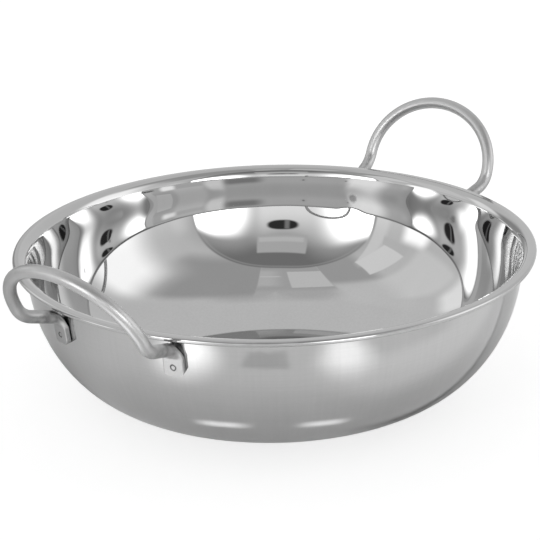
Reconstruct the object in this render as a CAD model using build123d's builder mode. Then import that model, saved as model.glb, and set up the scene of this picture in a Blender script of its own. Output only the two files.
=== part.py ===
from build123d import *
from math import acos, asin, atan2, cos, degrees, radians, sin, sqrt, tan
import os

os.makedirs("parts", exist_ok=True)

# A shallow round pan of thin polished sheet with a rolled edge and two loop handles of
# bent round wire. The ends of each wire are flattened to tabs that lie on the wall, and
# one spot weld holds each tab. Lengths are millimetres and angles are degrees. The
# origin is the centre of the flat base's underside, +Z goes up, and the handles stand
# on +X and -X.

# Bowl
rim_diameter = 210.0      # over the rolled edge
bowl_height = 65.0        # from the base's underside to the top of the edge
base_diameter = 56.0      # the flat that stands on the hob
floor_radius = 102.0      # the shallow curve round the flat
floor_turn = 25.0         # how steep that curve gets before the wall takes over
sheet = 0.7
flare_radius = 3.0        # underside of the bend from the wall to the flange
flange_width = 1.2        # level strip between that bend and the rolled edge
curl_diameter = 2.2       # outside of the rolled edge
curl_turn = 235.0         # how far the edge is rolled round

# Wire loops
wire_diameter = 5.0
leg_splay = 3.55          # each leg stands this far outside its tab, along Y
loop_leg = 4.5            # from the bends to the foot of the arch
arch_rise = 27.1          # from there to the top of the arch, along the loop
right_lean_angle = 66.0   # of each loop above level; they are bent by hand
left_lean_angle = 61.7
bend_share = 0.98         # how much of the leg the bend takes up
bend_reach = 13.6         # the bends stand this far outside the rolled edge, along X
bend_drop = 1.1           # and this far below the top of the edge

# Flattened ends of the wire
tab_spread = 53.7         # between the middles of the two tabs of one handle
tab_width = 8.0
tab_thickness = 2.2
tab_length = 7.0          # the flat part alone
tab_corner_share = 0.28   # corner radius, as a share of the tab's width
tab_edge_share = 0.23     # edge radius, as a share of its thickness
elbow_drop = 6.0          # from the top of the edge to where the neck meets the tab
elbow_length = 3.6        # each way from there, where round wire turns to flat
elbow_width_share = 0.36  # how far the elbow's middle has gone from round to flat
elbow_thickness_share = 0.46

# Spot welds
weld_diameter = 2.6
weld_depth = 1.0          # how deep the fused metal reaches into the tab
weld_gap = 0.1            # the weld holds the tab's middle this far off the wall
mark_depth = 0.2          # the electrode's dimple in the tab's outer face

# The sheet's middle line goes level over the flat, up the shallow curve, and then up an
# ellipse that leaves that curve at its own slope and stands upright where the flare starts.
half_sheet = sheet / 2
rim_radius = rim_diameter / 2
base_radius = base_diameter / 2
curl_radius = curl_diameter / 2
wire_radius = wire_diameter / 2
wall_radius = rim_radius - curl_radius - flange_width - flare_radius
wall_height = bowl_height - sheet - flare_radius
floor_slope = tan(radians(floor_turn))
floor_reach = base_radius + floor_radius * sin(radians(floor_turn))
floor_rise = half_sheet + floor_radius * (1 - cos(radians(floor_turn)))
wall_run = wall_radius - half_sheet - floor_reach
wall_rise = wall_height - floor_rise
ellipse_inset = wall_run**2 / (wall_rise / floor_slope - 2 * wall_run)
ellipse_run = ellipse_inset + wall_run
ellipse_rise = ellipse_run * sqrt(floor_slope * wall_rise / ellipse_inset)
ellipse_middle = floor_reach - ellipse_inset
ellipse_turn = degrees(acos(ellipse_inset / ellipse_run))

# Bowl: the middle line, drawn at the sheet's thickness and turned about Z
with BuildPart() as bowl:
    with BuildSketch(Plane.XZ) as sheet_profile:
        with BuildLine() as sheet_line:
            base = Line((0, half_sheet), (base_radius, half_sheet))
            JernArc(base @ 1, base % 1, floor_radius, floor_turn)
            EllipticalCenterArc(
                (ellipse_middle, wall_height),
                ellipse_run,
                ellipse_rise,
                start_angle=-ellipse_turn,
                arc_size=ellipse_turn,
            )
            wall_top = (wall_radius - half_sheet, wall_height)
            flare = JernArc(wall_top, (0, 1), flare_radius + half_sheet, -90)
            flange = Line(flare @ 1, flare @ 1 + (flange_width, 0))
            curl = JernArc(flange @ 1, flange % 1, curl_radius - half_sheet, -curl_turn)
        trace(line_width=sheet)
    revolve(axis=Axis.Z)
bowl.part.label = "bowl"
export_step(bowl.part, "parts/bowl.step")

# Where a tab sits. Each handle is symmetric about the XZ plane, so places are found on
# its back half, where Y is positive. The seat is the plane that touches the wall at the
# tab's middle, with x along the rim, y up the wall and z out of it.
seat_height = bowl_height - elbow_drop - elbow_length - tab_length / 2
seat_level = (wall_height - seat_height) / ellipse_rise
seat_upright = sqrt(1 - seat_level**2)
seat_tilt = degrees(atan2(ellipse_run * seat_level, ellipse_rise * seat_upright))
seat_reach = ellipse_middle + ellipse_run * seat_upright + half_sheet * cos(radians(seat_tilt))
seat_turn = degrees(asin(tab_spread / 2 / seat_reach))
seat = Plane(
    origin=Vector(seat_reach, 0, seat_height).rotate(Axis.Z, seat_turn),
    x_dir=Vector(0, 1, 0).rotate(Axis.Z, seat_turn),
    z_dir=Vector(1, 0, 0).rotate(Axis.Y, seat_tilt).rotate(Axis.Z, seat_turn),
)

# The wire's middle line goes from the elbow over the tab out to the bend, up a short leg,
# and over an arch that is half an ellipse.
leg_reach = tab_spread / 2 + leg_splay
rim_at_bend = sqrt(rim_radius**2 - leg_reach**2)
elbow = seat.from_local_coords((0, tab_length / 2 + elbow_length, weld_gap + tab_thickness / 2))
bend = Vector(rim_at_bend + bend_reach, leg_reach, bowl_height - bend_drop)
outward = (bend - elbow).normalized()
down = -seat.y_dir
neck_end = elbow + outward * elbow_length
flat_start = elbow + down * elbow_length


def loop_plane(lean):
    """The plane of a loop at that angle, with x along the rim and y up the loop."""
    along, up = Vector(0, 1, 0), Vector(cos(radians(lean)), 0, sin(radians(lean)))
    return Plane(origin=(bend.X, 0, bend.Z), x_dir=along, z_dir=along.cross(up))


def bend_radius(loop):
    """The radius at which a loop's bend takes up its share of the leg."""
    return bend_share * loop_leg / tan(radians(outward.get_angle(loop.y_dir)) / 2)


right_loop = loop_plane(right_lean_angle)
left_loop = loop_plane(left_lean_angle)
arch_foot = (leg_reach, loop_leg)

# The elbow rounds its corner, so its middle section lies inside it.
elbow_turn = radians(180 - outward.get_angle(down))
elbow_radius = elbow_length / tan(elbow_turn / 2)
elbow_inset = elbow_radius / cos(elbow_turn / 2) - elbow_radius
elbow_middle = elbow + (outward + down).normalized() * elbow_inset
elbow_width = wire_diameter + (tab_width - wire_diameter) * elbow_width_share
elbow_thickness = wire_diameter + (tab_thickness - wire_diameter) * elbow_thickness_share

neck_section = Plane(neck_end, x_dir=seat.x_dir, z_dir=-outward)
elbow_section = Plane(elbow_middle, x_dir=seat.x_dir, z_dir=down - outward)
flat_section = Plane(flat_start, x_dir=seat.x_dir, z_dir=down)
tab_corner_radius = tab_width * tab_corner_share
tab_edge_radius = tab_thickness * tab_edge_share
mark_radius = (mark_depth**2 + (weld_diameter / 2) ** 2) / (2 * mark_depth)

# One flattened end: the tab with rounded corners, the pocket that the weld fills, the
# dimple over it, and the elbow up to the round neck
with BuildPart() as wire_end:
    with BuildSketch(flat_section):
        RectangleRounded(tab_width, tab_thickness, tab_edge_radius)
    extrude(amount=tab_length)
    with BuildSketch(seat) as tab_outline:
        Rectangle(tab_width, tab_length)
        fillet(tab_outline.vertices().group_by(Axis.Y)[0], tab_corner_radius)
    extrude(amount=weld_gap + tab_thickness, mode=Mode.INTERSECT)
    with BuildSketch(seat.offset(weld_gap)):
        Circle(weld_diameter / 2)
    extrude(amount=weld_depth, mode=Mode.SUBTRACT)
    with Locations(seat.offset(weld_gap + tab_thickness + mark_radius - mark_depth)):
        Sphere(mark_radius, mode=Mode.SUBTRACT)
    with BuildSketch(neck_section):
        Circle(wire_radius)
    with BuildSketch(elbow_section):
        Ellipse(elbow_width / 2, elbow_thickness / 2)
    with BuildSketch(flat_section):
        RectangleRounded(tab_width, tab_thickness, tab_edge_radius)
    loft()


# Each loop is drawn on +X, with the two flattened ends on its necks. The left one goes
# across to -X.
wire_section = Plane(neck_end, x_dir=seat.x_dir, z_dir=outward)
with BuildPart() as handle_right:
    with BuildLine():
        right_foot = right_loop.from_local_coords(arch_foot)
        right_leg = FilletPolyline(neck_end, bend, right_foot, radius=bend_radius(right_loop))
        mirror(right_leg, about=Plane.XZ)
    with BuildLine(right_loop):
        EllipticalCenterArc((0, loop_leg), leg_reach, arch_rise, arc_size=180)
    with BuildSketch(wire_section):
        Circle(wire_radius)
    sweep()
    add(wire_end.part)
    mirror(wire_end.part, about=Plane.XZ)
handle_right.part.label = "handle_right"
export_step(handle_right.part, "parts/handle_right.step")

with BuildPart() as left_wire:
    with BuildLine():
        left_foot = left_loop.from_local_coords(arch_foot)
        left_leg = FilletPolyline(neck_end, bend, left_foot, radius=bend_radius(left_loop))
        mirror(left_leg, about=Plane.XZ)
    with BuildLine(left_loop):
        EllipticalCenterArc((0, loop_leg), leg_reach, arch_rise, arc_size=180)
    with BuildSketch(wire_section):
        Circle(wire_radius)
    sweep()
    add(wire_end.part)
    mirror(wire_end.part, about=Plane.XZ)
with BuildPart() as handle_left:
    mirror(left_wire.part, about=Plane.YZ)
handle_left.part.label = "handle_left"
export_step(handle_left.part, "parts/handle_left.step")

# Spot welds: each fills its tab's pocket and ends on the wall's outside
with BuildPart() as weld_right_back:
    with BuildSketch(seat.offset(-half_sheet)):
        Circle(weld_diameter / 2)
    extrude(amount=half_sheet + weld_gap + weld_depth)
    add(bowl.part, mode=Mode.SUBTRACT)
weld_right_back.part.label = "weld_right_back"
export_step(weld_right_back.part, "parts/weld_right_back.step")

with BuildPart() as weld_right_front:
    mirror(weld_right_back.part, about=Plane.XZ)
weld_right_front.part.label = "weld_right_front"
export_step(weld_right_front.part, "parts/weld_right_front.step")

with BuildPart() as weld_left_back:
    mirror(weld_right_back.part, about=Plane.YZ)
weld_left_back.part.label = "weld_left_back"
export_step(weld_left_back.part, "parts/weld_left_back.step")

with BuildPart() as weld_left_front:
    mirror(weld_right_front.part, about=Plane.YZ)
weld_left_front.part.label = "weld_left_front"
export_step(weld_left_front.part, "parts/weld_left_front.step")
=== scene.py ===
from math import cos, pi, radians, sin

import bpy
import numpy as np
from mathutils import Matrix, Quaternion, Vector


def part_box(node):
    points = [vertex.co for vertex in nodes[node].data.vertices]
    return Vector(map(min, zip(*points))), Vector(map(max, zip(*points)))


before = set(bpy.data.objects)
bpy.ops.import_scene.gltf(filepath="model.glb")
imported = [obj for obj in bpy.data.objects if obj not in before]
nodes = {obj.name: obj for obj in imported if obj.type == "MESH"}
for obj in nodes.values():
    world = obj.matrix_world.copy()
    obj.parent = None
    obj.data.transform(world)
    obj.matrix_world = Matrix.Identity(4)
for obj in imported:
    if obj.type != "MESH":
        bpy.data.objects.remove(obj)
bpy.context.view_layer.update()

scene = bpy.context.scene
scene.view_settings.view_transform = "Standard"

# Lengths are metres and angles are degrees, unless a comment says otherwise. A ramp has the two
# values that it runs between and, where they aren't 0 and 1, what it gives at each of them.

# Camera
RIM_CENTRE = Vector((0.0, 0.0, 0.065))
CAMERA_DISTANCE = 0.735
CAMERA_ELEVATION = 19.667
CAMERA_AZIMUTH = -52.82         # 0 looks along +Y
CAMERA_ROLL = 1.328
FOCAL_PIXELS = 1821.6           # for a frame 540 pixels wide
FRAME_PIXELS = 540.0
RIM_CENTRE_AT = (3.98, 28.70)   # pixels right of and above the frame's middle
SENSOR_WIDTH = 36.0             # millimetres
CLIP_NEAR, CLIP_FAR = 0.01, 50.0
BOUNCES = 16                    # the wall mirrors itself many times over

# How much light the metal reflects
POLISHED = 0.55
OUTSIDE = 0.50
DRAWN = 0.50
DULL = 0.34

# The bowl's profile: the flat, the shallow curve round it, the wall's ellipse, and the flare and
# the rolled edge, each with its centre as (radius, height) and the radius of the sheet's middle
BASE_RADIUS = 0.028
FLOOR_CURVE = 0.10165
FLOOR_REACH = 0.07096
WALL_RUN, WALL_RISE = 0.04309, 0.05475
HALF_SHEET = 0.00035
FLARE_AT, FLARE_MIDDLE = (0.1027, 0.0613), 0.00335
CURL_AT, CURL_MIDDLE = (0.1039, 0.0639), 0.00075
FLARE_FOOT = FLARE_AT[1]

# How the inside of the wall turns up towards the flare, and how it dips round each weld
LIP_FOOT, LIP_TURN = 0.0512, 0.172
DENT, DENT_TURN = 0.010, -0.014

# Where the handles are. LEANS has each one's side and, in radians, how it leans above level.
SEAT_TILT = radians(7.81)       # how far the wall leans out where the tabs sit
LOOP_FOOT = Vector((0.1141, 0.0, 0.0639))
LOOP_HALF, LOOP_RISE, LOOP_LEG = 0.0304, 0.0271, 0.0045
LEANS = {"handle_right": (1, radians(66.0)), "handle_left": (-1, radians(61.7))}
WELDS = ("weld_right_back", "weld_right_front", "weld_left_back", "weld_left_front")


def make_camera():
    """The photograph's camera. Returns the direction from the bowl towards it."""
    data = bpy.data.cameras.new("camera")
    data.sensor_fit = "HORIZONTAL"
    data.sensor_width = SENSOR_WIDTH
    data.lens = FOCAL_PIXELS / FRAME_PIXELS * data.sensor_width
    data.clip_start, data.clip_end = CLIP_NEAR, CLIP_FAR
    camera = bpy.data.objects.new("camera", data)
    scene.collection.objects.link(camera)
    el, az = radians(CAMERA_ELEVATION), radians(CAMERA_AZIMUTH)
    back = Vector((sin(az) * cos(el), -cos(az) * cos(el), sin(el)))
    looking = (-back).to_track_quat("-Z", "Y")
    roll = Quaternion((0, 0, 1), -radians(CAMERA_ROLL))
    aim = Vector((*RIM_CENTRE_AT, -FOCAL_PIXELS)).normalized()
    camera.rotation_mode = "QUATERNION"
    camera.rotation_quaternion = looking @ roll @ aim.rotation_difference(Vector((0, 0, -1)))
    camera.location = RIM_CENTRE + back * CAMERA_DISTANCE
    scene.camera = camera
    return back


toward_camera = make_camera()


class Graph:
    """The nodes of a material or world, made and joined in one call each."""

    def __init__(self, owner):
        self.owner = owner
        owner.use_nodes = True
        self.tree = owner.node_tree
        self.tree.nodes.clear()

    def put(self, socket, value):
        if isinstance(value, bpy.types.NodeSocket):
            self.tree.links.new(value, socket)
        elif isinstance(value, tuple) and len(value) == 3 and socket.type == "RGBA":
            socket.default_value = (*value, 1.0)
        else:
            socket.default_value = value

    def node(self, kind, inputs=None, **settings):
        made = self.tree.nodes.new(kind)
        for key, value in settings.items():
            setattr(made, key, value)
        for key, value in (inputs or {}).items():
            self.put(made.inputs[key], value)
        return made

    def math(self, operation, *values):
        made = self.node("ShaderNodeMath", operation=operation)
        for socket, value in zip(made.inputs, values):
            self.put(socket, value)
        return made.outputs[0]

    def total(self, *values):
        out = values[0]
        for value in values[1:]:
            out = self.math("ADD", out, value)
        return out

    def times(self, *values):
        out = values[0]
        for value in values[1:]:
            out = self.math("MULTIPLY", out, value)
        return out

    def sway(self, noise, *sizes):
        """A noise taken about its middle, times each of the sizes."""
        return self.times(self.total(noise, -0.5), *sizes)

    def spread(self, value, low, high, to_low=0.0, to_high=1.0, smooth=True):
        """value taken from one range to another, and held at the ends."""
        made = self.node(
            "ShaderNodeMapRange",
            {"Value": value, "From Min": low, "From Max": high,
             "To Min": to_low, "To Max": to_high},
            interpolation_type="SMOOTHSTEP" if smooth else "LINEAR",
        )
        return made.outputs["Result"]

    def noise(self, vector, scale, detail=2.0, rough=0.5, distortion=0.0, out="Fac"):
        made = self.node(
            "ShaderNodeTexNoise",
            {"Vector": vector, "Scale": scale, "Detail": detail, "Roughness": rough,
             "Distortion": distortion},
        )
        return made.outputs[out]

    def vector(self, operation, *values, out="Vector"):
        made = self.node("ShaderNodeVectorMath", operation=operation)
        for socket, value in zip(made.inputs, values):
            self.put(socket, value)
        return made.outputs[out]

    def scale(self, vector, size):
        made = self.node("ShaderNodeVectorMath", {0: vector, "Scale": size}, operation="SCALE")
        return made.outputs[0]

    def combine(self, x, y, z):
        made = self.node("ShaderNodeCombineXYZ")
        for socket, value in zip(made.inputs, (x, y, z)):
            self.put(socket, value)
        return made.outputs[0]

    def split(self, vector):
        return self.node("ShaderNodeSeparateXYZ", {0: vector}).outputs

    def pick(self, mask, a, b):
        """The vector a where the mask is 0, and b where it is 1."""
        made = self.node("ShaderNodeMix", {0: mask}, data_type="VECTOR")
        self.put(made.inputs[4], a)
        self.put(made.inputs[5], b)
        return made.outputs[1]

    def steel(self, tone, rough, height, normal=None):
        """Bare metal: how much it reflects, its roughness, and its relief in metres."""
        bump = self.node(
            "ShaderNodeBump", {"Strength": 1.0, "Distance": 1.0, "Height": height})
        if normal is not None:
            self.put(bump.inputs["Normal"], normal)
        shader = self.node(
            "ShaderNodeBsdfPrincipled",
            {"Base Color": self.combine(tone, tone, tone), "Metallic": 1.0, "Roughness": rough,
             "Normal": bump.outputs[0]},
        )
        return self.finish(shader.outputs[0])

    def finish(self, shader):
        out = self.node("ShaderNodeOutputMaterial")
        self.put(out.inputs["Surface"], shader)
        return self.owner


def new_material(name):
    return Graph(bpy.data.materials.new(name))


# Studio. Directions are an azimuth to the right of the way the camera looks, so that 180 is
# behind it, and an elevation above level.
AWAY = Vector((-toward_camera.x, -toward_camera.y, 0)).normalized()
RIGHT = Vector((AWAY.y, -AWAY.x, 0))
DOME_RADIUS = 5.5
DOME_STEP = 0.5
DOME_FOOT = -2                  # it starts this far below level
FLOOR_RADIUS, FLOOR_SIDES = 5.48, 96
LEVEL = 1.42                    # every brightness below times this
ROOM = 0.565
SOFTBOX = 3.1
LID_FOOT = 10                   # the ceiling starts at this elevation

# Each panel is painted over those before it, with its brightness last. A quad has its corners in
# order, and how far each side fades, from the one after its first corner. A lid is a quad on the
# ceiling, right of and ahead of the bowl, in shares of the ceiling's height. An oval has its
# middle, half its size, how square it is, and its fade.
PANELS = (
    # the upper left, and the ceiling with its light patches
    ("quad", ((262, 40), (310, 40), (310, 100), (262, 100)), (20, 20, 30, 20), 0.59),
    ("oval", (180, 90), (180, 19), 4, 8, 0.455),
    ("lid", ((0.108, -0.9), (1.3, -0.9), (1.3, 0.2), (0.1, 0.09)),
     (0.5, 0.5, 0.2, 0.012), 0.355),
    ("lid", ((-0.36, -0.9), (0.108, -0.9), (0.1, -0.02), (-0.36, -0.02)),
     (0.1, 0.012, 0.12, 0.03), 0.41),
    ("lid", ((-0.9, -0.9), (-0.36, -0.9), (-0.36, -0.15), (-0.9, -0.15)),
     (0.1, 0.02, 0.15, 0.3), 0.38),
    ("lid", ((-0.02, -0.50), (0.107, -0.50), (0.101, -0.13), (-0.02, -0.13)),
     (0.1, 0.012, 0.1, 0.14), 0.50),
    ("lid", ((-0.04, -0.365), (0.1, -0.37), (0.1, -0.345), (-0.04, -0.34)),
     (0.02, 0.01, 0.02, 0.04), 0.57),
    ("lid", ((-0.362, -0.458), (-0.096, -0.465), (-0.093, -0.08), (-0.355, -0.09)),
     (0.01, 0.01, 0.01, 0.01), 0.58),
    # the bright side on the right
    ("quad", ((64, -30), (124, -30), (117, 46), (70, 46)), (6, 26, 19, 10), 0.62),
    ("quad", ((71, -30), (110.5, -30), (107, 39), (75.5, 39)), (6, 20, 19, 12), 1.16),
    ("quad", ((126, -30), (139, -30), (136, 16), (128, 16)), (6, 6, 10, 8), 0.66),
    # the dark sheet behind the camera, with a light line inside its edge
    ("oval", (185.7, 0), (47.5, 60.5), 2.7, 1.4, 0.20),
    ("oval", (185.7, 0), (46.3, 59.2), 2.7, 1.0, 0.29),
    ("oval", (185.7, 0), (45.2, 58.0), 2.7, 1.4, 0.185),
    # the light on that sheet, the two softboxes, and the light patch above the camera
    ("oval", (158, 6), (23, 30), 2, 18, 0.42),
    ("oval", (214, 12), (20, 30), 2, 18, 0.42),
    ("quad", ((170, -30), (206, -30), (206, 26), (170, 26)), (6, 12, 34, 12), 0.76),
    ("quad", ((139.3, 13), (139.3, -30), (165, -30), (163, 21.5), (151, 24.5), (143.5, 20.5)),
     (1, 1, 18, 22, 10, 7), SOFTBOX),
    ("quad", ((208.5, -30), (231, -30), (232, 20), (225, 27), (212, 27)),
     (1, 1.3, 9, 26, 24), SOFTBOX),
    ("quad", ((171.2, 28), (198.6, 28), (200, 44.5), (169.3, 44)), (2.0, 1.3, 2, 1.3), 0.46),
    ("quad", ((171.8, 30), (197, 30), (197, 34), (171.8, 34)), (2.0, 2, 2, 1.3), 0.55),
    # the left side, and the dark area ahead of it with a light patch beside it
    ("quad", ((233.5, -30), (242, -30), (240, 46), (233.5, 43)), (1, 4, 8, 1), 0.68),
    ("quad", ((242.4, 24.1), (256.5, 26.7), (252, 49.8), (233.5, 44.3)), (1, 1, 1, 1), 0.72),
    ("quad", ((240, 18), (257, 20), (257, 26.5), (241, 24)), (3, 3, 1, 1), 0.54),
    ("quad", ((262, 16), (292, 16), (292, 50), (262, 50)), (6, 8, 14, 6), 0.67),
    ("quad", ((248, -30), (270, -30), (264, 16), (251, 17)), (1, 6, 7, 6), 1.25),
    ("quad", ((308, -30), (352, -30), (348, 22), (314, 22)), (1, 16, 14, 14), 0.27),
    ("quad", ((294, 8), (312, 8), (311, 34), (296, 31)), (10, 8, 9, 8), 0.88),
    # the camera, with the light strip on it
    ("oval", (185, 19.8), (8.0, 3.9), 2.4, 1.2, 0.03),
    ("quad", ((186, 16), (188.4, 16), (188.4, 23), (186, 23)), (1, 1.5, 1, 1.5), 0.20),
)


def step(t):
    t = np.clip(t, 0, 1)
    return t * t * (3 - 2 * t)


def off_middle(az, middle):
    """How far azimuths are from a middle, within half a turn."""
    return (az - middle + 180) % 360 - 180


def polygon(x, y, corners, fades):
    sides = list(zip(corners, corners[1:] + corners[:1], fades))
    turn = sum(x0 * y1 - x1 * y0 for (x0, y0), (x1, y1), fade in sides)
    mask = np.ones(x.shape)
    for (x0, y0), (x1, y1), fade in sides:
        dx, dy = x1 - x0, y1 - y0
        inside = np.sign(turn) * ((y - y0) * dx - (x - x0) * dy) / np.hypot(dx, dy)
        mask = mask * step(0.5 + inside / fade)
    return mask


def quad(az, el, corners, fades):
    middle = sum(corner[0] for corner in corners) / len(corners)
    return polygon(off_middle(az, middle) + middle, el, corners, fades)


def lid(az, el, corners, fades):
    a = np.radians(az)
    reach = 1 / np.tan(np.radians(np.clip(el, LID_FOOT, 90)))
    return polygon(reach * np.sin(a), reach * np.cos(a), corners, fades) * (el > LID_FOOT)


def oval(az, el, middle, half, power, fade):
    x = np.abs(off_middle(az, middle[0])) / half[0]
    y = np.abs(el - middle[1]) / half[1]
    return step(0.5 + (1 - (x ** power + y ** power) ** (1 / power)) * min(half) / fade)


KINDS = {"quad": quad, "lid": lid, "oval": oval}


def dome_level(az, el):
    """How bright the studio is in each direction."""
    level = np.full(az.shape, ROOM)
    for kind, *shape, bright in PANELS:
        level += (bright - level) * KINDS[kind](az, el, *shape)
    return level * LEVEL


def stage(name, points, faces, material):
    mesh = bpy.data.meshes.new(name)
    mesh.from_pydata(points, [], faces)
    mesh.materials.append(material)
    obj = bpy.data.objects.new(name, mesh)
    scene.collection.objects.link(obj)
    return obj


def make_dome():
    """The studio: a dome that glows, hidden from the camera."""
    across, up = int(360 / DOME_STEP), int((90 - DOME_FOOT) / DOME_STEP)
    az, el = np.meshgrid(np.arange(across) * DOME_STEP,
                         np.arange(up + 1) * DOME_STEP + DOME_FOOT)
    a, e = np.radians(az)[..., None], np.radians(el)[..., None]
    flat = np.cos(a) * np.array(AWAY[:2]) + np.sin(a) * np.array(RIGHT[:2])
    points = np.concatenate([flat * np.cos(e), np.sin(e)], -1) * DOME_RADIUS
    points = points + np.array(RIM_CENTRE)
    j, i = np.meshgrid(np.arange(up), np.arange(across), indexing="ij")
    here, above, k = j * across, (j + 1) * across, (i + 1) % across
    quads = np.stack([here + i, here + k, above + k, above + i], -1)
    g = new_material("dome")
    level = g.node("ShaderNodeAttribute", attribute_name="level").outputs["Fac"]
    material = g.finish(g.node("ShaderNodeEmission", {"Strength": level}).outputs[0])
    material.cycles.emission_sampling = "NONE"
    obj = stage("dome", points.reshape(-1, 3).tolist(), quads.reshape(-1, 4).tolist(), material)
    values = obj.data.attributes.new("level", "FLOAT", "POINT")
    values.data.foreach_set("value", dome_level(az, el).ravel())
    obj.visible_camera = False
    obj.visible_shadow = False


def seen(g):
    """1 where the camera sees a surface, itself or in metal or glass, and 1 where metal does."""
    path = g.node("ShaderNodeLightPath").outputs
    mirrored = g.math("MAXIMUM", path["Is Glossy Ray"], path["Is Transmission Ray"])
    return g.math("MAXIMUM", path["Is Camera Ray"], mirrored), path["Is Glossy Ray"]


# Table: its colour and its glow where metal sees it, where the camera does, and otherwise
TABLE, TABLE_GLOW = 0.8, 0.24
SHOWN_TABLE, SHOWN_GLOW = 0.4, 0.74

# Painted reflections of the lamps in the table: how far in front of the bowl's axis and to
# the right, half the length and width, and how bright. The arcs are painted reflections too,
# with the angles of their two ends.
PAINTED_POOLS = ((0.176, -0.104, 0.088, 0.054, 1.3), (0.181, 0.078, 0.075, 0.044, 0.85))
POOL_CORE = 0.15                # the share of a pool that is at its full brightness
PAINTED_ARCS = ((-29, -6, 0.90), (3, 25, 0.85))
ARC_RADIUS, ARC_WIDTH, ARC_FADE = 0.087, 0.0045, 9

# The painted dark reflection of the camera in the table: front and right, half its size there,
# and its fade
LENS_AT, LENS_HALF, LENS_FADE = (0.189, -0.011), (0.024, 0.023), 0.005
LENS_SHADE = -0.21

# Painted shade: it is dimmer close to the bowl, and on the left, by the angle to the right of
# the front.
NEAR_SHADE_RAMP = (0.08, 0.15, -0.15, 0.0)
LEFT_SHADE_RAMPS = ((-100, -58, -0.27, 0.0), (-175, -110, 0.18, 0.0))

# Painted shade and light on the table, along an edge on the right where front + right *
# EDGE_SLOPE is EDGE_AT. It is dimmer behind that edge, less so further back, dark along it, and
# lighter in a band in front of it.
EDGE_SLOPE, EDGE_AT = 0.68, 0.0885
EDGE_RAMPS = ((-0.004, 0.004, -0.17, 0.0), (-0.09, -0.05, 0.08, 0.0))
EDGE_LINE = (0.002, 0.006, -0.16, 0.0)
BAND_IN, BAND_OUT = (0.03, 0.06), (0.10, 0.14, 0.15, 0.0)
EDGE_START = (0.02, 0.06)       # how far to the right that edge begins


def shine(g):
    """Painted light and shade on the table, which only the metal sees: painted reflections of
    the lamps and the camera, and painted shade by the bowl, on the left and along an edge on the
    right.
    """
    point = g.node("ShaderNodeTexCoord").outputs["Object"]
    front = g.vector("DOT_PRODUCT", point, tuple(-AWAY), out="Value")
    right = g.vector("DOT_PRODUCT", point, tuple(RIGHT), out="Value")
    light = 0.0
    # painted reflections of the lamps in the table, seen only in the metal
    for ahead, aside, length, width, bright in PAINTED_POOLS:
        middle = Vector((ahead, aside))
        out = middle.normalized()
        long = g.total(g.times(front, out.x), g.times(right, out.y), -middle.length)
        wide = g.total(g.times(front, -out.y), g.times(right, out.x))
        place = g.combine(g.times(long, 1 / length), g.times(wide, 1 / width), 0.0)
        far = g.vector("LENGTH", place, out="Value")
        light = g.total(g.spread(far, POOL_CORE, 1.0, bright, 0.0), light)

    reach = g.vector("LENGTH", point, out="Value")
    angle = g.times(g.math("ARCTAN2", right, front), 180 / pi)
    off_arc = g.math("ABSOLUTE", g.total(reach, -ARC_RADIUS))
    thin = g.spread(off_arc, 0.0, ARC_WIDTH, 1.0, 0.0)
    # painted reflections, in thin arcs
    for start, end, bright in PAINTED_ARCS:
        ends = g.times(g.spread(angle, start, start + ARC_FADE),
                       g.spread(angle, end - ARC_FADE, end, 1.0, 0.0))
        light = g.total(g.times(thin, ends, bright), light)

    # the camera's painted dark reflection
    lens = []
    for value, middle, half in zip((front, right), LENS_AT, LENS_HALF):
        off_lens = g.math("ABSOLUTE", g.total(value, -middle))
        lens.append(g.spread(off_lens, half - LENS_FADE, half + LENS_FADE, 1.0, 0.0))

    # painted shade close to the bowl and on the left
    near = g.spread(reach, *NEAR_SHADE_RAMP)
    left = g.total(*(g.spread(angle, *ramp) for ramp in LEFT_SHADE_RAMPS))
    # painted shade and light along the edge on the right
    edge = g.total(front, g.times(right, EDGE_SLOPE), -EDGE_AT)
    past = g.total(*(g.spread(edge, *ramp) for ramp in EDGE_RAMPS),
                   g.spread(g.math("ABSOLUTE", edge), *EDGE_LINE),
                   g.times(g.spread(edge, *BAND_IN), g.spread(edge, *BAND_OUT)))
    past = g.times(past, g.spread(right, *EDGE_START))
    return g.total(light, near, left, past, g.times(*lens, LENS_SHADE))


def make_floor():
    """A pale table, its gloss painted. Straight on it is white, and in the metal it keeps its
    shading and shows painted reflections and painted shade.
    """
    g = new_material("floor")
    shown, glossy = seen(g)

    def pale(colour, glow):
        flat = g.node("ShaderNodeBsdfDiffuse", {"Color": (colour, colour, colour)}).outputs[0]
        light = g.node("ShaderNodeEmission", {"Strength": glow}).outputs[0]
        return g.node("ShaderNodeAddShader", {0: flat, 1: light}).outputs[0]

    def choose(mask, a, b):
        return g.node("ShaderNodeMixShader", {0: mask, 1: a, 2: b}).outputs[0]

    # in the metal: the table's colour, with its painted light and shade
    table = pale(TABLE, g.total(shine(g), TABLE_GLOW))
    looks = choose(glossy, pale(SHOWN_TABLE, SHOWN_GLOW), table)
    pick = choose(shown, pale(TABLE, 0.0), looks)
    turns = [2 * pi * i / FLOOR_SIDES for i in range(FLOOR_SIDES)]
    edge = [(FLOOR_RADIUS * cos(turn), FLOOR_RADIUS * sin(turn), 0) for turn in turns]
    stage("floor", edge, [tuple(range(FLOOR_SIDES))], g.finish(pick))


def make_world():
    scene.world = bpy.data.worlds.new("studio")
    g = Graph(scene.world)
    white = g.node("ShaderNodeBackground", {"Color": (1, 1, 1), "Strength": seen(g)[0]})
    g.put(g.node("ShaderNodeOutputWorld").inputs["Surface"], white.outputs[0])


make_dome()
make_floor()
make_world()
scene.cycles.max_bounces = scene.cycles.glossy_bounces = BOUNCES

# A weld's axis runs on through the bowl, so this ramp adds to the distance from it, by how far
# a point is from the weld itself.
WELD_END = (0.03, 0.05, 0.0, 0.1)


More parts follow.
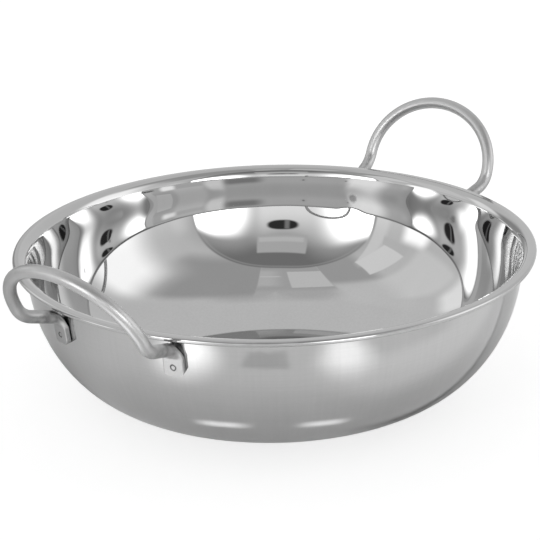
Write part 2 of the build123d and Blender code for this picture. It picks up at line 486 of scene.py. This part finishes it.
def weld_places():
    """The middle of each weld, and the way out of the wall there."""
    places = []
    for name in WELDS:
        low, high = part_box(name)
        middle = (Vector(low) + Vector(high)) / 2
        flat = Vector((middle.x, middle.y, 0)).normalized()
        out = flat * cos(SEAT_TILT) - Vector((0, 0, sin(SEAT_TILT)))
        places.append((tuple(middle), tuple(out)))
    return places


def off_axis(g, point, places):
    """How far a point is from the axis of the nearest weld."""
    nearest = None
    for middle, out in places:
        across = g.vector("CROSS_PRODUCT", g.vector("SUBTRACT", point, middle), out)
        far = g.vector("LENGTH", across, out="Value")
        behind = g.vector("DISTANCE", point, middle, out="Value")
        far = g.total(far, g.spread(behind, *WELD_END))
        nearest = far if nearest is None else g.math("MINIMUM", nearest, far)
    return nearest


LOWEST = 0.98                   # the wall's slope is worked out down to this share of its rise
FACES_UP = 0.5                  # a surface faces up if its normal rises more than this
UNDER_CURL = 0.0001             # all that is this far below the curl's centre is curl


def bowl_normal(g, normal, outward, radius, z):
    """The way the bowl faces, worked out from its profile, so that it mirrors smoothly. On the
    outside of the wall and floor the surface's own normal stays."""

    def away(out, up):
        """The direction that goes so far out from the bowl's axis, and so far up."""
        return g.vector("NORMALIZE",
                        g.vector("ADD", g.scale(outward, out), g.combine(0.0, 0.0, up)))

    def roll(at, middle):
        """Out and up from the nearer skin of the sheet where it is bent round a centre, and how
        far off that centre is."""
        out, up = g.total(radius, -at[0]), g.total(z, -at[1])
        far = g.vector("LENGTH", g.combine(out, up, 0.0), out="Value")
        side = g.math("SIGN", g.total(far, -middle))
        return g.times(out, side), g.times(up, side), far

    # Floor: the sine and cosine of the shallow curve's slope
    lean = g.math("MAXIMUM", g.times(g.total(radius, -BASE_RADIUS), 1 / FLOOR_CURVE), 0.0)
    floor_up = g.math("SQRT", g.math("SUBTRACT", 1.0, g.times(lean, lean)))
    floor = away(g.times(lean, -1.0), floor_up)

    # Wall: the same on its ellipse, turned up towards the flare
    drop = g.times(g.math("SUBTRACT", FLARE_FOOT, z), 1 / WALL_RISE)
    drop = g.times(g.math("MAXIMUM", drop, 0.0), 1 + HALF_SHEET / WALL_RISE)
    drop = g.math("MINIMUM", drop, LOWEST)
    upright = g.math("SQRT", g.math("SUBTRACT", 1.0, g.times(drop, drop)))
    lip = g.spread(z, LIP_FOOT, FLARE_FOOT, 0.0, 1.0, smooth=False)
    lip = g.times(lip, lip, LIP_TURN)
    wall = away(g.times(upright, -WALL_RISE),
                g.total(g.times(drop, WALL_RUN), g.times(lip, WALL_RISE)))

    own_up = g.split(normal)[2]
    inner = g.math("LESS_THAN", g.vector("DOT_PRODUCT", normal, outward, out="Value"), 0.0)
    inner = g.math("MAXIMUM", inner, g.math("GREATER_THAN", own_up, FACES_UP))
    low = g.pick(g.math("GREATER_THAN", radius, FLOOR_REACH), floor, wall)
    low = g.pick(inner, normal, low)

    # Flare, flange and curl
    past_flare = g.math("GREATER_THAN", radius, FLARE_AT[0])
    out, up, far = roll(FLARE_AT, FLARE_MIDDLE)
    upper = g.math("GREATER_THAN", far, FLARE_MIDDLE)
    lip_end = g.spread(z, FLARE_FOOT, CURL_AT[1], FLARE_MIDDLE * LIP_TURN, 0.0)
    flare = away(out, g.total(up, g.times(upper, lip_end)))
    curl = away(*roll(CURL_AT, CURL_MIDDLE)[:2])
    flange = g.combine(0.0, 0.0, g.math("SIGN", own_up))
    high = g.pick(past_flare, flare, flange)
    high = g.pick(g.math("GREATER_THAN", radius, CURL_AT[0]), high, curl)
    curled = g.times(g.math("LESS_THAN", z, CURL_AT[1] - UNDER_CURL), past_flare)
    high = g.pick(curled, high, curl)
    return g.pick(g.math("GREATER_THAN", z, FLARE_FOOT), low, high)


# Bowl. A point inside it tells its inside from its outside. The wall starts at a radius.
BOWL_MIDDLE = (0.0, 0.0, 0.1)
OUTSIDE_RAMP = (-0.05, 0.15)
WALL_RAMP = (0.068, 0.09)

# Its noises: how fine they are along the profile and round the bowl, or all over, with their
# detail and roughness, and for the smudges their distortion
RING_ALONG, RING_ROUND = 1500.0, 2.0
STREAK_ALONG, STREAK_ROUND = 14.0, 60.0
WAVE_ALONG, WAVE_ROUND = 22.0, 3.0
FINE_NOISE = (1.0, 3.0, 0.6)
WAVE_NOISE = (1.0, 1.0, 0.4)
SMUDGE_NOISE = (34.0, 4.0, 0.6, 0.6)
GRAIN_NOISE = (900.0, 2.0, 0.6)

# The heat mark of a weld and the halo round it, by the distance from its axis, which a noise
# makes ragged
RAGGED_NOISE, RAGGED_REACH = (300.0, 2.0), 0.0024
BURN_RAMP = (0.0005, 0.0024, 1.0, 0.0)
HALO_RAMP = (0.0020, 0.0060, 1.0, 0.0)

# How much each mark changes the tone, the roughness and, in metres, the relief. Where there are
# two values they are for the floor and for the wall.
RING_TONE, RING_ROUGH, RING_RELIEF = 0.04, (0.01, 0.004), (2e-7, 0.0)
STREAK_TONE, STREAK_ROUGH, STREAK_RELIEF = 0.04, 0.02, 0.000002
SMUDGE_TONE, SMUDGE_ROUGH, SMUDGE_RAMP = 0.05, (0.03, 0.01), (0.5, 0.75)
GRAIN_TONE = (0.05, 0.02)
BURN_TONE, BURN_ROUGH = -0.30, 0.08
HALO_TONE, HALO_ROUGH = -0.04, 0.03
WAVE_TURN = (0.0015, 0.014)

# The inside of the wall is lighter, from its foot up to the rim, and the rim a little darker.
LIGHT_FOOT = (0.036, 0.050)
LIGHT_TOP = (0.0605, 0.0630, 0.10, -0.03)

# Roughness inside and outside, and how much more the floor has than the wall
SIDE_ROUGH = (0.012, 0.07)
FLOOR_ROUGH = (0.013, 0.0)


def bowl_material():
    """Spun and polished inside, with fine rings, and a softer shine outside."""
    g = new_material("bowl_steel")
    coords = g.node("ShaderNodeTexCoord").outputs
    point, normal = coords["Object"], coords["Normal"]
    x, y, z = g.split(point)
    radius = g.vector("LENGTH", g.combine(x, y, 0.0), out="Value")
    outward = g.vector("NORMALIZE", g.combine(x, y, 0.0))
    around = g.split(outward)
    along = g.total(radius, z)
    from_middle = g.vector("NORMALIZE", g.vector("SUBTRACT", point, BOWL_MIDDLE))
    facing = g.vector("DOT_PRODUCT", normal, from_middle, out="Value")
    outside = g.spread(facing, *OUTSIDE_RAMP)
    inside = g.math("SUBTRACT", 1.0, outside)
    wall = g.spread(radius, *WALL_RAMP)

    def by_wall(pair):
        return g.spread(wall, 0, 1, *pair)

    def round_bowl(fine):
        return g.times(around[0], fine), g.times(around[1], fine)

    rings = g.combine(g.times(along, RING_ALONG), *round_bowl(RING_ROUND))
    rings = g.noise(rings, *FINE_NOISE)
    streaks = g.combine(*round_bowl(STREAK_ROUND), g.times(along, STREAK_ALONG))
    streaks = g.noise(streaks, *FINE_NOISE)
    waves = g.combine(*round_bowl(WAVE_ROUND), g.times(along, WAVE_ALONG))
    waves = g.noise(waves, *WAVE_NOISE, out="Color")
    smudges = g.noise(point, *SMUDGE_NOISE)
    grain = g.noise(point, *GRAIN_NOISE)

    places = weld_places()
    ragged = g.times(g.noise(point, *RAGGED_NOISE), RAGGED_REACH)
    ragged = g.total(off_axis(g, point, places), ragged, -RAGGED_REACH / 2)
    burn = g.spread(ragged, *BURN_RAMP)
    halo = g.spread(ragged, *HALO_RAMP)

    # Relief wider than a pixel turns the normal itself: the wall's gentle waves and the pull of
    # each weld.
    turned = bowl_normal(g, normal, outward, radius, z)
    waves = g.scale(g.vector("SUBTRACT", waves, (0.5, 0.5, 0.5)), by_wall(WAVE_TURN))
    turned = g.vector("ADD", turned, waves)
    for middle, out in places:
        reach = g.vector("DISTANCE", point, middle, out="Value")
        pull = g.times(g.spread(reach, 0.0, DENT / 2), g.spread(reach, DENT / 2, DENT, 1.0, 0.0),
                       DENT_TURN)
        from_weld = g.vector("NORMALIZE", g.vector("SUBTRACT", point, middle))
        turned = g.vector("ADD", turned, g.scale(from_weld, pull))
    turned = g.vector("NORMALIZE", turned)

    tone = g.total(
        g.spread(outside, 0, 1, POLISHED, OUTSIDE),
        g.sway(streaks, outside, STREAK_TONE),
        g.sway(grain, by_wall(GRAIN_TONE)),
        g.sway(smudges, SMUDGE_TONE),
        g.sway(rings, outside, RING_TONE),
        g.times(burn, BURN_TONE),
        g.times(halo, HALO_TONE),
        g.times(g.spread(z, *LIGHT_FOOT), g.spread(z, *LIGHT_TOP), inside),
    )
    rough = g.total(
        g.spread(outside, 0, 1, *SIDE_ROUGH),
        g.times(by_wall(FLOOR_ROUGH), inside),
        g.times(g.spread(smudges, *SMUDGE_RAMP), by_wall(SMUDGE_ROUGH)),
        g.times(streaks, outside, STREAK_ROUGH),
        g.times(rings, by_wall(RING_ROUGH)),
        g.times(burn, BURN_ROUGH),
        g.times(halo, HALO_ROUGH),
    )
    height = g.total(g.times(rings, by_wall(RING_RELIEF)),
                     g.times(streaks, outside, STREAK_RELIEF))
    return g.steel(tone, rough, height, turned)


# Wire. Its lines are fine across it and long along it. The rest is set by the distance from the
# axis of the nearest weld: the tab, the pressed ring mark, which a noise makes uneven, and
# painted shade in patches at the neck, for its dark reflections. The left loop has painted shade
# round its far bend.
LINE_ACROSS, LINE_ALONG = 2600.0, 90.0
PATCH_NOISE = (160.0, 3.0, 0.6, 0.4)
WIRE_GRAIN_NOISE = (2400.0, 2.0, 0.6)
TAB_RAMP = (0.0042, 0.0062, 1.0, 0.0)
MARK_NOISE, MARK_WANDER = (420.0, 1.0), 0.0012
MARK_IN, MARK_OUT = (0.0006, 0.0009), (0.0010, 0.0014, 1.0, 0.0)
NECK_IN, NECK_OUT = (0.0062, 0.0085), (0.0110, 0.0170, 1.0, 0.0)
NECK_NOISE, NECK_PATCHES = (300.0, 2.0), (0.35, 0.65)
# painted shade round the left loop's far bend
BEND_SHADE_RAMP = (0.010, 0.034, 0.0, -0.10)

# How much each changes the tone, the roughness and, in metres, the relief
WIRE_ROUGH = 0.31
LINE_TONE, LINE_ROUGH, LINE_RELIEF = 0.12, 0.06, 0.0000006
PATCH_TONE, PATCH_ROUGH, PATCH_RELIEF = 0.10, 0.06, 0.000004
WIRE_GRAIN_TONE, WIRE_GRAIN_RELIEF = 0.05, 0.0000003
MARK_TONE, MARK_ROUGH = -0.34, 0.15
# painted shade at the neck
NECK_SHADE_TONE = -0.16
TAB_TONE = -0.04


def wire_material(name):
    """Drawn wire: a fine grain along it, a soft shine, and pressed marks on the tabs."""
    side, lean = LEANS[name]
    g = new_material(name + "_steel")
    point = g.node("ShaderNodeTexCoord").outputs["Object"]
    foot = (LOOP_FOOT.x * side, 0.0, LOOP_FOOT.z)
    up, out = (cos(lean) * side, 0.0, sin(lean)), (sin(lean) * side, 0.0, -cos(lean))
    offset = g.vector("SUBTRACT", point, foot)
    rise = g.total(g.vector("DOT_PRODUCT", offset, up, out="Value"), -LOOP_LEG)
    rise = g.times(rise, LOOP_HALF / LOOP_RISE)
    deep = g.vector("DOT_PRODUCT", offset, out, out="Value")
    across = g.split(point)[1]
    reach = g.vector("LENGTH", g.combine(across, rise, 0.0), out="Value")
    along = g.times(g.math("ARCTAN2", rise, across), LOOP_HALF)
    lines = g.combine(g.times(reach, LINE_ACROSS), g.times(deep, LINE_ACROSS),
                      g.times(along, LINE_ALONG))
    lines = g.noise(lines, *FINE_NOISE)
    patches = g.noise(point, *PATCH_NOISE)
    grain = g.noise(point, *WIRE_GRAIN_NOISE)

    far = off_axis(g, point, weld_places())
    tab = g.spread(far, *TAB_RAMP)
    wander = g.times(g.noise(point, *MARK_NOISE), MARK_WANDER)
    wander = g.total(far, wander, -MARK_WANDER / 2)
    mark = g.math("MINIMUM", g.spread(wander, *MARK_IN), g.spread(wander, *MARK_OUT))
    # painted shade in patches at the neck, for the dark reflections there
    neck_shade = g.times(g.spread(far, *NECK_IN), g.spread(far, *NECK_OUT),
                   g.spread(g.noise(point, *NECK_NOISE), *NECK_PATCHES))
    # painted shade round the left loop's far bend
    bend_shade = g.spread(across, *BEND_SHADE_RAMP) if side < 0 else 0.0

    tone = g.total(
        DRAWN,
        bend_shade,
        g.times(neck_shade, NECK_SHADE_TONE),
        g.sway(lines, LINE_TONE),
        g.sway(patches, PATCH_TONE),
        g.sway(grain, WIRE_GRAIN_TONE),
        g.times(tab, TAB_TONE),
        g.times(mark, MARK_TONE),
    )
    rough = g.total(WIRE_ROUGH, g.times(lines, LINE_ROUGH), g.times(patches, PATCH_ROUGH),
                    g.times(mark, MARK_ROUGH))
    height = g.total(g.times(lines, LINE_RELIEF), g.times(grain, WIRE_GRAIN_RELIEF),
                     g.times(patches, PATCH_RELIEF))
    return g.steel(tone, rough, height)


# Welds
BLOTCH_NOISE = (900.0, 3.0, 0.6)
WELD_GRAIN_NOISE = (4000.0, 2.0, 0.6)
WELD_ROUGH = 0.3
BLOTCH_TONE, BLOTCH_ROUGH, BLOTCH_RELIEF = 0.2, 0.25, 0.00003
WELD_GRAIN_TONE, WELD_GRAIN_RELIEF = 0.1, 0.000004


def weld_material():
    """Fused metal: dull, and a little uneven."""
    g = new_material("weld_steel")
    point = g.node("ShaderNodeTexCoord").outputs["Object"]
    blotches = g.noise(point, *BLOTCH_NOISE)
    grain = g.noise(point, *WELD_GRAIN_NOISE)
    tone = g.total(DULL, g.sway(blotches, BLOTCH_TONE), g.sway(grain, WELD_GRAIN_TONE))
    rough = g.total(WELD_ROUGH, g.times(blotches, BLOTCH_ROUGH))
    height = g.total(g.times(blotches, BLOTCH_RELIEF), g.times(grain, WELD_GRAIN_RELIEF))
    return g.steel(tone, rough, height)


def dress(name, material):
    slots = nodes[name].data.materials
    slots.clear()
    slots.append(material)


dress("bowl", bowl_material())
for handle in LEANS:
    dress(handle, wire_material(handle))
fused = weld_material()
for weld in WELDS:
    dress(weld, fused)
